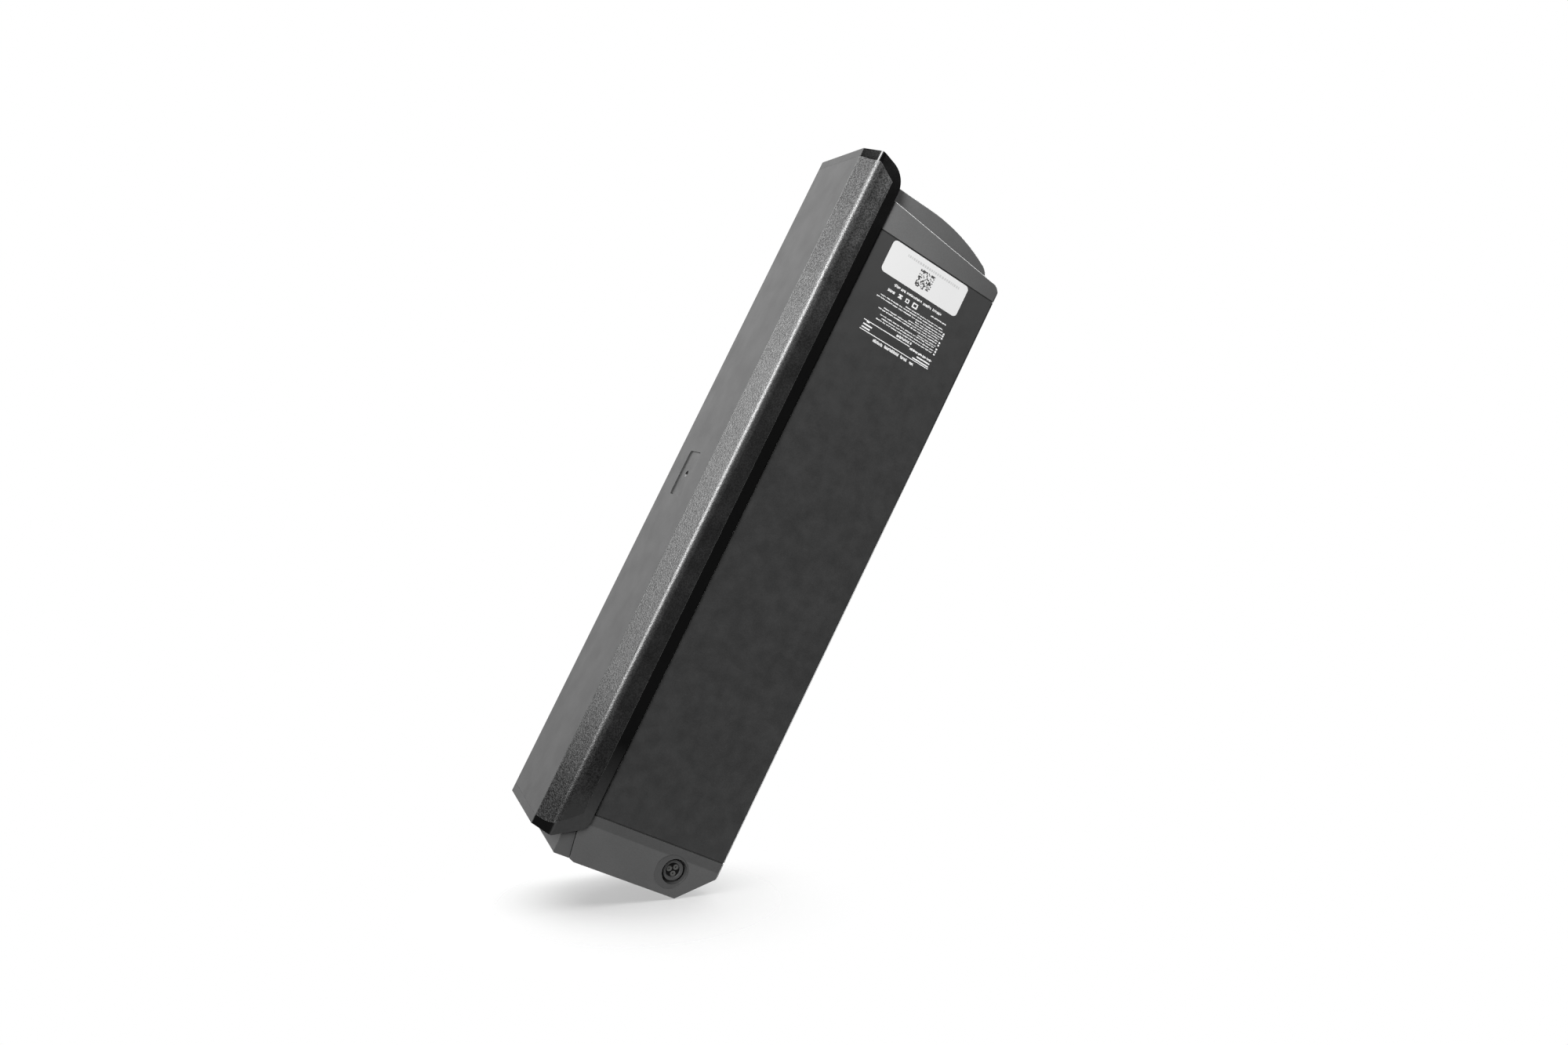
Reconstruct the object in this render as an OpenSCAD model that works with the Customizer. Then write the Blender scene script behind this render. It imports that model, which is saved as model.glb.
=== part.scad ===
// Down-tube lithium-ion battery pack for an electric bicycle.
// An aluminium sleeve holds 13 groups of 4 cells and the protection board. A hollow cover with
// chamfered edges lies along its front. One end cap carries the charge socket, the other a nose
// with the discharge connector. The pack lies on its back: +X runs to the nose, +Z to the cover,
// and the charge socket faces -Y. The origin is below the middle, on the back face's plane.

/* [Case] */
// Width of the case across its sides
case_w = 78; // [77:0.5:84]
// Height of the case from its back to the cover
case_h = 94; // [93:0.5:100]
// Length of the case between its two end seams
case_len = 400; // [392:1:440]
// Wall of the aluminium sleeve
case_wall = 1.6; // [1.2:0.1:1.8]
// Radius along the back corners
back_r = 1.6; // [1.2:0.1:3.5]

/* [Cover] */
// Height of the cover above the case
cover_h = 31; // [28:0.5:36]
// How far the cover stands out past each side of the case
cover_side = 2; // [1:0.25:3]
// Leg of the 45 degree chamfer along each long edge
cover_chamfer = 10; // [7:0.5:12]
// Radius where the chamfer meets the side
cover_edge_r = 5; // [4.6:0.1:6]
// Reach of the cover past the nose seam
cover_nose = 41.5; // [38:0.5:50]
// Reach of the cover past the connector seam
cover_tail = 20; // [18:0.5:22]
// Width of the plain rim round the textured skin
rim_w = 5.5; // [4:0.5:7]
// Height of the plain strip below the textured skin
strip_h = 6.7; // [4:0.1:9]

/* [Connector end] */
// Length of the connector end cap
tail_len = 31; // [29:0.5:36]
// Length of the band that runs flush with the case
tail_band = 6.8; // [4:0.1:9]
// Leg of the chamfer between the cap's end and its back
tail_chamfer = 21; // [16:0.5:24]
// Distance of the charge socket from the seam
socket_x = 15.4; // [14:0.1:16.5]
// Height of the charge socket above the back
socket_z = 29.2; // [28:0.1:40]

/* [Nose] */
// Length of the skirt at the cover
skirt_top = 19.5; // [17:0.5:22]
// Length of the skirt at the back
skirt_back = 11; // [9:0.5:13]
// Reach of the nose past its seam
nose_len = 31; // [29:0.5:36]
// Step from the skirt's side in to the nose's side
nose_step = 8; // [6:0.5:9]

/* [Indicator] */
// Length of the recessed indicator panel
panel_len = 30.5; // [26:0.5:34]
// Width of the recessed indicator panel
panel_w = 21; // [18:0.5:24]
// Depth of the panel below the cover's face
panel_recess = 0.8; // [0.4:0.1:1]
// Diameter of the push button
button_d = 4.2; // [3.6:0.1:4.6]
// Travel of the push button
button_travel = 0.8; // [0.4:0.1:1]

/* [Cells] */
// Diameter of one cell in its wrap
cell_d = 21.2; // [20.8:0.1:21.3]
// Length of one cell
cell_len = 70; // [69:0.1:70.2]

/* [Hidden] */
$fn = 48;
GROUPS = 13;            // groups in series, one behind the other along X
ROWS = 4;               // cells in parallel in one group
eps = 0.01;

// Places along X. The two seams are the case's ends.
total_len = tail_len + case_len + cover_nose;
x_tail = -total_len / 2;
x_seam = x_tail + tail_len;
x_nose_seam = x_seam + case_len;
gasket_t = 1;           // end gaskets, seen as thin dark seams
gasket_in = 0.6;

// The cover's section and its two ends, as reach past a seam and height above the case.
top_z = case_h + cover_h;
cover_z = case_h + 0.8;
half_w = case_w / 2 + cover_side;
flat_half = half_w - cover_chamfer;
skin_t = 1.8;
cover_t = 4.2;          // skin and base together
NOSE_END = [cover_nose - 2, cover_nose, 21.5, 16, 15.4];     // top reach, edge reach, edge height,
TAIL_END = [cover_tail - 0.5, cover_tail, 20, 30, 9];        // slant in degrees, corner radius
// The skin's two ends. They are inset by the rim's width.
SKIN_NOSE_END = [cover_nose - 2, cover_nose - 1, 21.9, 28, rim_w + 1.5];
SKIN_TAIL_END = [cover_tail - 0.5, cover_tail - 2.2, 22.9, 39, rim_w + 4];

// Indicator, at the middle of the cover's length.
panel_x = (x_nose_seam + cover_nose + x_seam - cover_tail) / 2;
panel_z = top_z - panel_recess;
roof_top = top_z - skin_t;
roof_low = top_z - cover_t;
board_z = roof_low - 4.6;
board_t = 1.6;
button_flange_z = roof_top - 0.9;
dome_h = button_travel + 0.6;         // the dome's free height
stem_low = board_z + board_t + dome_h + 0.1;

// Charge socket. Its axis is Y and its face looks along -Y.
socket_pos = [x_seam - socket_x, -case_w / 2 + 0.45, socket_z];
flange_r = 10.9;
flange_at = [-0.6, -2.2];   // the flange's centre off the axis, along the case and towards the back
pocket_r = 8.2;
pocket_depth = 7;
collar_r = 6.5;
collar_low = 2.6;       // the collar's rim below the flange's face
port_r = 4.9;
port_depth = 1;         // from the collar's rim to the insert
insert_z = port_depth + collar_low + eps;
contact_r = 1.75;
thread_r = 7.2;

// The latch block's screws stand under the cover's roof.
latch_screw_x = x_seam - 11;

// Lock bolt bush in the connector end cap's end face.
bush_z = 62;
bush_r = 5;
bush_depth = 14;

// Discharge connector in the nose's end face.
dis_z = case_h - 17;
dis_x = x_nose_seam + nose_len;
dis_w = 38;
dis_h = 20;
dis_cavity = 9.5;

// Cells stand in two holders, and the stack rests near the back wall.
pitch = cell_d + 0.7;
stack_x = x_seam + 34;
stack_len = GROUPS * pitch;
stack_z = case_wall + 0.5;
stack_h = ROWS * pitch;
holder_in = cell_len / 2 - 8;
nickel_t = 0.25;
inner_w = case_w - 2 * case_wall;
bms_x = stack_x + stack_len + 14;
bms_h = case_h - 2 * case_wall - 5;
bms_w = inner_w - 6;
run_z = stack_z + stack_h + 0.25;     // flat leads run in the gap above the holders

// ---- Helpers ----

// Points of an arc, from angle a0 to a1
function arc(cx, cy, r, a0, a1, n = 10) =
    [for (i = [0:n]) let (a = a0 + (a1 - a0) * i / n) [cx + r * cos(a), cy + r * sin(a)]];

// A 2D shape in X and Z, made solid over the width w along Y
module across(w) {
    translate([0, w / 2, 0]) rotate([90, 0, 0]) linear_extrude(w) children();
}

// A 2D shape in Y and Z, made solid from x0 to x1
module along(x0, x1) {
    translate([x0, 0, 0]) rotate([90, 0, 90]) linear_extrude(x1 - x0) children();
}

// A cylinder along X from x0 to x1
module rod_x(r, x0, x1) {
    translate([x0, 0, 0]) rotate([0, 90, 0]) cylinder(r = r, h = x1 - x0);
}

// A cylinder along Y from y0 to y1
module rod_y(r, y0, y1) {
    translate([0, y0, 0]) rotate([-90, 0, 0]) cylinder(r = r, h = y1 - y0);
}

module centred(size) {
    translate(-size / 2) cube(size);
}

// A rectangle with its own corner radius at the bottom and at the top
module rounded_rect(w, z0, z1, rb, rt) {
    difference() {
        translate([-w / 2, z0]) square([w, z1 - z0]);
        for (s = [-1, 1]) {
            translate([s * w / 2, z0]) corner_cut(rb);
            translate([s * w / 2, z1]) corner_cut(rt);
        }
    }
    for (s = [-1, 1]) {
        translate([s * (w / 2 - rb), z0 + rb]) circle(rb);
        translate([s * (w / 2 - rt), z1 - rt]) circle(rt);
    }
}

module corner_cut(r) {
    translate([-r, -r]) square(2 * r);
}

// A plate with rounded vertical corners, centred in X and Y
module rounded_plate(size, r) {
    translate([-size[0] / 2 + r, -size[1] / 2, 0]) cube([size[0] - 2 * r, size[1], size[2]]);
    translate([-size[0] / 2, -size[1] / 2 + r, 0]) cube([size[0], size[1] - 2 * r, size[2]]);
    for (sx = [-1, 1], sy = [-1, 1])
        translate([sx * (size[0] / 2 - r), sy * (size[1] / 2 - r), 0]) cylinder(r = r, h = size[2]);
}

// A round lead of diameter d swept along points, with a ring of 8 at each point
function unit(v) = v / norm(v);
function tangent(p, i) = unit(p[min(i + 1, len(p) - 1)] - p[max(i - 1, 0)]);
function ring(p, i, r, side) =
    let (t = tangent(p, i), u = unit(cross(t, side)), v = cross(t, u))
    [for (k = [0:7]) p[i] + r * (cos(45 * k) * u + sin(45 * k) * v)];
module lead(p, d, side = [0, 1, 0.2]) {
    n = len(p);
    points = [for (i = [0:n - 1]) each ring(p, i, d / 2, side)];
    faces = concat(
        [[for (k = [0:7]) k]],
        [for (i = [0:n - 2], k = [0:7])
            [8 * i + k, 8 * i + 8 + k, 8 * i + 8 + (k + 1) % 8, 8 * i + (k + 1) % 8]],
        [[for (k = [7:-1:0]) 8 * (n - 1) + k]]);
    polyhedron(points, faces);
}

// ---- Case ----

module case_section() rounded_rect(case_w, 0, case_h, back_r, 1.2);

module case_inner() {
    rounded_rect(inner_w, case_wall, case_h - case_wall, max(back_r - case_wall, 0.5), 0.8);
}

// Where the screws go through the back and the top wall into each cap's tongue
function screw_places(x) = [for (s = [-1, 1], z = [0, case_h]) [x, s * case_w * 0.3, z]];
screw_in = 6;

module countersink(up) {
    // up is 1 where the head lies in the top wall and -1 where it lies in the back wall
    mirror([0, 0, up > 0 ? 1 : 0]) {
        translate([0, 0, -eps]) cylinder(d1 = 6.2, d2 = 3.2, h = 1.5);
        cylinder(d = 3.2, h = 3);
    }
}

module case_sleeve() {
    color("#3a3b3d") difference() {
        union() {
            along(x_seam + gasket_t / 2, x_nose_seam - gasket_t / 2) difference() {
                case_section();
                case_inner();
            }
            for (s = [-1, 1]) translate([0, s * 27, case_h - eps]) rail();
        }
        for (p = concat(screw_places(x_seam + screw_in), screw_places(x_nose_seam - screw_in)))
            translate(p) countersink(p[2] > 0 ? 1 : -1);
        translate([panel_x, 0, case_h - case_wall / 2]) centred([16, 8, 3 * case_wall]);
    }
}

// A T rail on the sleeve's top, which the cover's hooks hold
module rail() {
    x0 = x_seam + 20;
    x1 = x_nose_seam - 20;
    translate([x0, -1, 0]) cube([x1 - x0, 2, 3.5]);
    translate([x0, -3, 2]) cube([x1 - x0, 6, 1.5]);
}

// ---- Connector end ----

// The cap narrows a little past its flush band
module tail_plan(clear = 0) {
    h = case_w / 2;
    polygon([[x_seam + 12, h], [x_seam - tail_band, h], [x_tail - 1, h - 0.95 - clear],
        [x_tail - 1, -h + 0.95 + clear], [x_seam - tail_band, -h], [x_seam + 12, -h]]);
}

// The seam between the cap and the latch block rises towards the cover
function latch_seam_z(x) = case_h + 1.8 + (x - x_tail) * 0.2;
latch_gap = 0.45;

module tail_profile() {
    x1 = x_seam - gasket_t / 2;
    lip = x_seam - 4;
    polygon([[x1, 0], [x_tail + tail_chamfer, 0], [x_tail, tail_chamfer],
        [x_tail, case_h - 1.6], [x_tail + 1.2, latch_seam_z(x_tail + 1.2) - latch_gap],
        [lip, latch_seam_z(lip) - latch_gap], [lip, case_h - eps], [x1, case_h - eps]]);
}

module tail_hollow() {
    w = 3;
    polygon([[x_seam, w], [x_tail + tail_chamfer + w * 0.4, w], [x_tail + w, tail_chamfer + w * 0.4],
        [x_tail + w, case_h - 3], [x_seam, case_h - 3]]);
}

// A tongue that plugs into the sleeve, from x0 to x1
module tongue(x0, x1) {
    along(x0, x1) difference() {
        rounded_rect(inner_w - 0.4, case_wall + 0.2, case_h - case_wall - 0.2, max(back_r - 1.7, 0.5), 1);
        rounded_rect(inner_w - 6, case_wall + 3.2, case_h - case_wall - 3.2, 1, 1);
    }
}

module screw_holes(x) {
    for (p = screw_places(x)) translate([p[0], p[1], p[2] > 0 ? case_h - 8 : 0])
        cylinder(d = 3, h = 8);
}

module connector_end_cap() {
    color("#56575a") difference() {
        union() {
            intersection() {
                along(x_tail - 1, x_seam) tail_section();
                across(case_w + 2) difference() {
                    tail_profile();
                    tail_hollow();
                }
                linear_extrude(case_h + 10) tail_plan();
            }
            intersection() {
                tail_sides();
                linear_extrude(case_h + 10) tail_plan();
            }
            tongue(x_seam - gasket_t / 2 - 1, x_seam + 11);
            translate([socket_pos[0], 0, socket_z])
                rod_y(12, -case_w / 2 + 1.2, -case_w / 2 + 11);
            translate([0, 0, bush_z]) rod_x(9.5, x_tail + 1, x_tail + bush_depth + 3);
        }
        translate(socket_pos) {
            translate([flange_at[0], 0, -flange_at[1]]) rod_y(flange_r + 0.1, -2, 1.1);
            rod_y(pocket_r + 1.1, -1, pocket_depth + 1.7);
            rod_y(thread_r + 0.1, 6, 14);
        }
        translate([0, 0, bush_z]) {
            rod_x(9.1, x_tail - 1, x_tail + 1.5);
            rod_x(7.1, x_tail - 1, x_tail + bush_depth + 1.6);
        }
        screw_holes(x_seam + screw_in);
        for (s = [-1, 1]) translate([latch_screw_x, s * 24, case_h - 4]) cylinder(d = 2.6, h = 12);
    }
}

// The cap's section: the case's, carried on above its top edge
module tail_section() {
    rounded_rect(case_w, 0, case_h + 8, back_r, 1.2);
}

// The cap's two side walls
module tail_sides() {
    for (s = [-1, 1]) intersection() {
        translate([0, s * (case_w / 2 - 2.5), 0]) across(5) tail_profile();
        along(x_tail - 1, x_seam) tail_section();
    }
}

// The block that fills the cover's open end and is screwed down on the cap
module latch_block() {
    color("#505153") difference() {
        intersection() {
            across(case_w - 2.2)
                polygon([[x_tail + 1.3, latch_seam_z(x_tail + 1.3)], [x_tail + 1.3, case_h + 12.3],
                    [x_tail + 2.3, case_h + 13.3], [x_seam - 4.2, case_h + 13.3],
                    [x_seam - 4.2, latch_seam_z(x_seam - 4.2)]]);
            linear_extrude(case_h + 20) tail_plan(0.15);
        }
        for (s = [-1, 1]) translate([latch_screw_x, s * 24, case_h]) {
            cylinder(d = 3.2, h = 20);
            translate([0, 0, 10.2]) cylinder(d = 6, h = 10);
        }
    }
}

module latch_block_screws() {
    color("#8c8c8f") for (s = [-1, 1]) translate([latch_screw_x, s * 24, 0]) {
        translate([0, 0, case_h - 3]) cylinder(d = 2.5, h = 13.3);
        translate([0, 0, case_h + 10.25]) difference() {
            cylinder(d = 5.5, h = 2.4);
            translate([0, 0, 1.2]) cylinder(d = 2.9, h = 3, $fn = 6);
        }
    }
}

module lock_bush() {
    color("#b4b6b8") translate([0, 0, bush_z]) difference() {
        union() {
            rod_x(9, x_tail, x_tail + 1.4);
            rod_x(7, x_tail, x_tail + bush_depth + 1.5);
        }
        rod_x(bush_r, x_tail - 1, x_tail + bush_depth);
    }
}

module end_gasket(x, outer) {
    color("#161616") difference() {
        along(x - gasket_t / 2 + 0.05, x + gasket_t / 2 - 0.05)
            rounded_rect(case_w - 2 * gasket_in, gasket_in, case_h - gasket_in,
                max(back_r - gasket_in, 0.5), 0.8);
        along(x - gasket_t, x + gasket_t)
            rounded_rect(inner_w + 0.2, case_wall - 0.1, case_h - case_wall + 0.1, 0.5, 1);
    }
}

module connector_gasket() end_gasket(x_seam);

module nose_gasket() end_gasket(x_nose_seam);

// ---- Charge socket ----

module charge_socket_shell() {
    color("#6a6b6e") translate(socket_pos) rotate([-90, 0, 0]) difference() {
        union() {
            translate(flange_at) cylinder(r = flange_r, h = 1);
            cylinder(r = pocket_r + 1, h = pocket_depth + 1);
            cylinder(r = thread_r, h = 15);
        }
        difference() {
            translate([0, 0, -1]) cylinder(r = pocket_r, h = pocket_depth + 1);
            translate([0, 0, collar_low]) cylinder(r = collar_r, h = pocket_depth);
        }
        translate([0, 0, -1]) cylinder(r = port_r, h = port_depth + collar_low + 1);
        translate([0, 0, 3]) cylinder(r = port_r - 0.4, h = 13);
    }
}

module charge_socket_insert() {
    color("#141414") translate(socket_pos) rotate([-90, 0, 0]) difference() {
        translate([0, 0, insert_z]) cylinder(r = port_r - 0.45, h = 11.3);
        contact_places() translate([0, 0, port_depth]) cylinder(r = contact_r + 0.02, h = 16);
    }
}

module contact_places() {
    for (a = [30, 150, 270]) rotate([0, 0, a]) translate([2.5, 0, 0]) children();
}

module charge_socket_contacts() {
    color("#a9a7a1") translate(socket_pos) rotate([-90, 0, 0]) contact_places() difference() {
        translate([0, 0, insert_z]) cylinder(r = contact_r, h = 13.3);
        translate([0, 0, port_depth]) cylinder(r = 0.55, h = 7);
    }
}

module charge_socket_nut() {
    color("#9a9b9d") translate(socket_pos) rotate([-90, 0, 0]) difference() {
        translate([0, 0, 10.8]) cylinder(r = 10.5, h = 3, $fn = 6);
        cylinder(r = thread_r + 0.05, h = 16);
    }
}

module charge_socket_seal() {
    color("#1c1c1c") translate(socket_pos) rotate([-90, 0, 0]) difference() {
        translate([0, 0, pocket_depth + 1.02]) cylinder(r = pocket_r + 0.9, h = 0.6);
        cylinder(r = thread_r + 0.15, h = 12);
    }
}

// ---- Nose end ----

NOSE_ARC_R = 120;       // the long curve down the nose's end
NOSE_TOE_R = 10;        // the toe at the back

// The skirt's end slants from the cover down to the back, with a rounded corner
module skirt_profile() {
    corner = 7;
    polygon(concat([[x_nose_seam + gasket_t / 2, case_h - eps], [x_nose_seam + gasket_t / 2, 0]],
        arc(x_nose_seam + skirt_back - corner, corner, corner, -90, 5),
        [[x_nose_seam + skirt_top, case_h - 2], [x_nose_seam + skirt_top, case_h - eps]]));
}

// The nose stands straight under the cover, then curves back to its toe
module nose_profile(inset = 0) {
    turn = 25;
    z1 = case_h - 28;
    cx = x_nose_seam + nose_len - NOSE_ARC_R;
    toe = NOSE_ARC_R - NOSE_TOE_R;
    top = case_h + 0.5 - inset;
    root = x_nose_seam + gasket_t / 2 - inset;
    polygon(concat([[root, top], [x_nose_seam + nose_len - inset, top]],
        arc(cx, z1, NOSE_ARC_R - inset, 0, -turn),
        arc(cx + toe * cos(turn), z1 - toe * sin(turn), NOSE_TOE_R - inset, -turn, -90),
        [[root, z1 - toe * sin(turn) - NOSE_TOE_R + inset]]));
}

module nose_end_cap() {
    color("#5b5c5f") difference() {
        union() {
            intersection() {
                along(x_nose_seam, x_nose_seam + skirt_top + 1) case_section();
                across(case_w + 2) skirt_profile();
            }
            across(case_w - 2 * nose_step) nose_profile();
            tongue(x_nose_seam - 11, x_nose_seam + gasket_t / 2 + 1);
        }
        across(case_w - 2 * nose_step - 6) nose_profile(3);
        along(x_nose_seam - 20, x_nose_seam + 8)
            rounded_rect(inner_w - 6, case_wall + 3.2, case_h - case_wall - 3.2, 1, 1);
        translate([dis_x, 0, dis_z]) {
            centred([20, dis_w + 0.4, dis_h + 0.4]);
            translate([-0.5, 0, 0]) centred([2.2, dis_w + 14.4, dis_h + 2.4]);
        }
        for (s = [-1, 1]) translate([0, s * (dis_w / 2 + 3.6), dis_z])
            rod_x(1.25, dis_x - 8, dis_x);
        screw_holes(x_nose_seam - screw_in);
    }
}

module discharge_connector_body() {
    color("#181818") translate([dis_x, 0, dis_z]) difference() {
        union() {
            translate([-0.8, 0, 0]) centred([1.5, dis_w + 14, dis_h + 2]);
            translate([-8, 0, 0]) centred([15.9, dis_w, dis_h]);
        }
        translate([-dis_cavity, -dis_w / 2 + 2, -dis_h / 2 + 2])
            cube([dis_cavity + 1, dis_w - 4, dis_h - 4]);
        for (s = [-1, 1]) translate([0, s * (dis_w / 2 + 3.6), 0]) {
            rod_x(1.6, -4, 2);
            rod_x(2.9, -0.8, 2);
        }
        for (s = [-1, 1]) translate([-14, s * 11.5, 0]) centred([14, 8.1, 1.3]);
        for (y = [-4.5, -1.5, 1.5, 4.5]) translate([0, y, 0]) rod_x(0.65, -18, -8);
    }
}

module discharge_power_blades() {
    color("#b9a269") translate([dis_x, 0, dis_z]) for (s = [-1, 1])
        translate([-12.5, s * 11.5, 0]) centred([19, 8, 1.2]);
}

module discharge_signal_pins() {
    color("#c7b064") translate([dis_x, 0, dis_z]) for (y = [-4.5, -1.5, 1.5, 4.5])
        translate([0, y, 0]) rod_x(0.6, -20, -3.5);
}

module discharge_connector_screws() {
    color("#8c8c8f") translate([dis_x, 0, dis_z]) for (s = [-1, 1])
        translate([0, s * (dis_w / 2 + 3.6), 0]) {
            rod_x(1.2, -7.5, -0.7);
            difference() {
                rod_x(2.7, -0.75, 0);
                centred([0.9, 4, 0.7]);
            }
        }
}

// ---- Screws of the end caps, flush in the sleeve's back and top ----

module cap_screws(x) {
    color("#7d7e80") for (p = screw_places(x)) translate(p) mirror([0, 0, p[2] > 0 ? 1 : 0]) {
        difference() {
            translate([0, 0, 0.15]) cylinder(d1 = 5.7, d2 = 2.9, h = 1.35);
            translate([0, 0, -0.5]) cylinder(d = 2, h = 1.3, $fn = 6);
        }
        translate([0, 0, 1.4]) cylinder(d = 2.9, h = 6);
    }
}

module connector_cap_screws() cap_screws(x_seam + screw_in);

module nose_cap_screws() cap_screws(x_nose_seam - screw_in);

// ---- Cover ----

// One half of the cover's section, inset by t from the outside and reaching down to z
function half_section(t, z) =
    let (tan8 = tan(22.5), cy = half_w - cover_edge_r,
         cz = top_z - cover_chamfer - cover_edge_r * tan8)
    concat([[half_w - t, z]], arc(cy, cz, cover_edge_r - t, 0, 45, 8),
        [[flat_half - t * tan8, top_z - t]]);

function flip(p) = [for (i = [len(p) - 1:-1:0]) [-p[i][0], p[i][1]]];

module cover_section(t, z) polygon(concat(half_section(t, z), flip(half_section(t, z))));

// Points of one end of the cover seen from the side: a straight top corner, a slanted stretch
// and a round corner down to the height low. The inset d moves it in towards the cover's middle.
function end_points(e, d, low) =
    let (s = e[3], r = e[4] - d, ex = e[1] - d, ez = case_h + e[2] - d * tan(s / 2),
         cx = ex - (r - (low + r - ez) * sin(s)) / cos(s))
    concat([[e[0] - d, top_z + 1], [e[0] - d, top_z - d], [ex, ez]],
        arc(cx, low + r, r, -s, -90));

module cover_outline(d, low, nose_end = NOSE_END, tail_end = TAIL_END) {
    nose = end_points(nose_end, d, low);
    tail = end_points(tail_end, d, low);
    polygon(concat([for (p = nose) [x_nose_seam + p[0], p[1]]],
        [for (i = [len(tail) - 1:-1:0]) [x_seam - tail[i][0], tail[i][1]]]));
}

// The region that the textured skin covers, with clearance c
module skin_region(c) {
    intersection() {
        across(2 * half_w + 10)
            cover_outline(rim_w - c, cover_z + rim_w - c, SKIN_NOSE_END, SKIN_TAIL_END);
        translate([-total_len, -half_w - 5, cover_z + strip_h - c])
            cube([2 * total_len, 2 * half_w + 10, cover_h + 10]);
    }
}

module cover_base() {
    color("#151516") difference() {
        union() {
            difference() {
                intersection() {
                    along(-total_len, total_len) cover_section(0, cover_z);
                    across(2 * half_w + 10) cover_outline(0, cover_z);
                }
                intersection() {
                    along(-total_len, total_len) cover_section(cover_t, cover_z - 5);
                    cover_cavity();
                }
                intersection() {
                    skin_region(0.1);
                    difference() {
                        along(-total_len, total_len) cover_section(-0.5, cover_z);
                        along(-total_len, total_len) cover_section(skin_t, cover_z - 1);
                    }
                }
                // Room for the latch block in the open end
                translate([x_tail - 1, -case_w / 2 + 0.9, cover_z - 5])
                    cube([tail_len - 2, case_w - 1.8, 17.8]);
                // Room for the cap's lip over the case's top edge
                translate([x_tail - 1, -case_w / 2 - 0.15, cover_z - 1])
                    cube([tail_len + 1, case_w + 0.3, strip_h + 0.7]);
            }
            for (s = [-1, 1]) translate([0, s * 27, 0]) cover_hook();
            for (sx = [-1, 1], sy = [-1, 1])
                translate([panel_x + sx * 20, sy * 8, board_z + board_t + 0.02])
                    cylinder(d = 5, h = roof_low - board_z - board_t + 0.5);
        }
        translate([panel_x, 0, 0]) {
            translate([0, 0, roof_low - 1]) cylinder(d = button_d + 2.8, h = 10);
            translate([0, 6, roof_low + 1]) centred([20.4, 3.4, 6]);
            for (sx = [-1, 1], sy = [-1, 1]) translate([sx * 20, sy * 8, board_z])
                cylinder(d = 1.8, h = 4.5);
        }
    }
}

// The hollow inside the cover: closed past the nose cap, open below along the case
module cover_cavity() {
    across(2 * half_w) cover_outline(cover_t, cover_z + cover_t);
    translate([x_seam - 4, -half_w, case_h]) cube([case_len + 8, 2 * half_w, 12]);
}

// A pair of ribs with hooks that hold one T rail
module cover_hook() {
    x0 = x_seam + 21;
    x1 = x_nose_seam - 21;
    for (s = [-1, 1]) {
        translate([x0, s > 0 ? 3.3 : -5.3, case_h + 0.3]) cube([x1 - x0, 2, roof_low - case_h]);
        translate([x0, s > 0 ? 1.3 : -3.8, case_h + 0.3]) cube([x1 - x0, 2.5, 1.4]);
    }
}

module cover_skin() {
    color("#5d5e60") difference() {
        intersection() {
            difference() {
                along(-total_len, total_len) cover_section(0, cover_z);
                along(-total_len, total_len) cover_section(skin_t - 0.05, cover_z - 1);
            }
            skin_region(0);
        }
        translate([panel_x, 0, roof_top - 1]) rounded_plate([panel_len, panel_w, 6], 2.2);
    }
}

module cover_gasket() {
    color("#1a1a1a") for (s = [-1, 1]) translate([0, s * (case_w / 2 - 1.5), 0])
        translate([x_seam + 1, -1, case_h + 0.02]) cube([case_len - 2, 2, 0.76]);
}

// ---- Indicator ----

module indicator_panel() {
    color("#77787a") translate([panel_x, 0, roof_top + 0.02]) difference() {
        rounded_plate([panel_len - 0.3, panel_w - 0.3, panel_z - roof_top - 0.02], 2.1);
        translate([0, 0, -1]) cylinder(d = button_d + 0.3, h = 5);
    }
}

module state_button() {
    color("#6c6d6f") translate([panel_x, 0, 0]) difference() {
        union() {
            translate([0, 0, button_flange_z]) cylinder(d = button_d, h = panel_z - button_flange_z);
            translate([0, 0, button_flange_z]) cylinder(d = button_d + 2, h = 0.8);
            translate([0, 0, stem_low]) cylinder(d = 3, h = button_flange_z - stem_low + eps);
        }
        translate([0, 0, panel_z + 3.45]) sphere(r = 4);
    }
}

module button_dome() {
    h = dome_h;
    color("#b9bbbd") translate([panel_x, 0, board_z + board_t + 0.05]) rotate_extrude()
        polygon([[0, h - 0.5], [1.4, h - 0.5], [2.6, 0], [3.2, 0], [2, h], [0, h]]);
}

module indicator_board() {
    color("#1d5a34") translate([panel_x, 0, board_z]) difference() {
        rounded_plate([46, 22, board_t], 1.5);
        for (sx = [-1, 1], sy = [-1, 1]) translate([sx * 20, sy * 8, -1]) cylinder(d = 2.2, h = 4);
    }
}

module indicator_leds() {
    color("#e8ead8") for (i = [-2:2])
        translate([panel_x + 4 * i, 6, board_z + board_t + 0.5]) centred([1.6, 0.9, 0.96]);
}

module light_guide() {
    low = board_z + board_t + 1.2;
    color("#d9dde0") translate([panel_x, 6, (low + roof_top - 0.02) / 2])
        centred([20, 3, roof_top - 0.02 - low]);
}

// ---- Label and print on the case's side ----

label_x = [22.2, 0.6];      // from the nose seam back along the case
label_z = [21.1, 82.5];
label_t = 0.12;

module identity_label() {
    color("#ececec") translate([x_nose_seam - (label_x[0] + label_x[1]) / 2,
        -case_w / 2 - 0.01, (label_z[0] + label_z[1]) / 2])
        rotate([90, 0, 0]) rounded_plate([label_x[0] - label_x[1], label_z[1] - label_z[0], label_t], 2.8);
}

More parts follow.
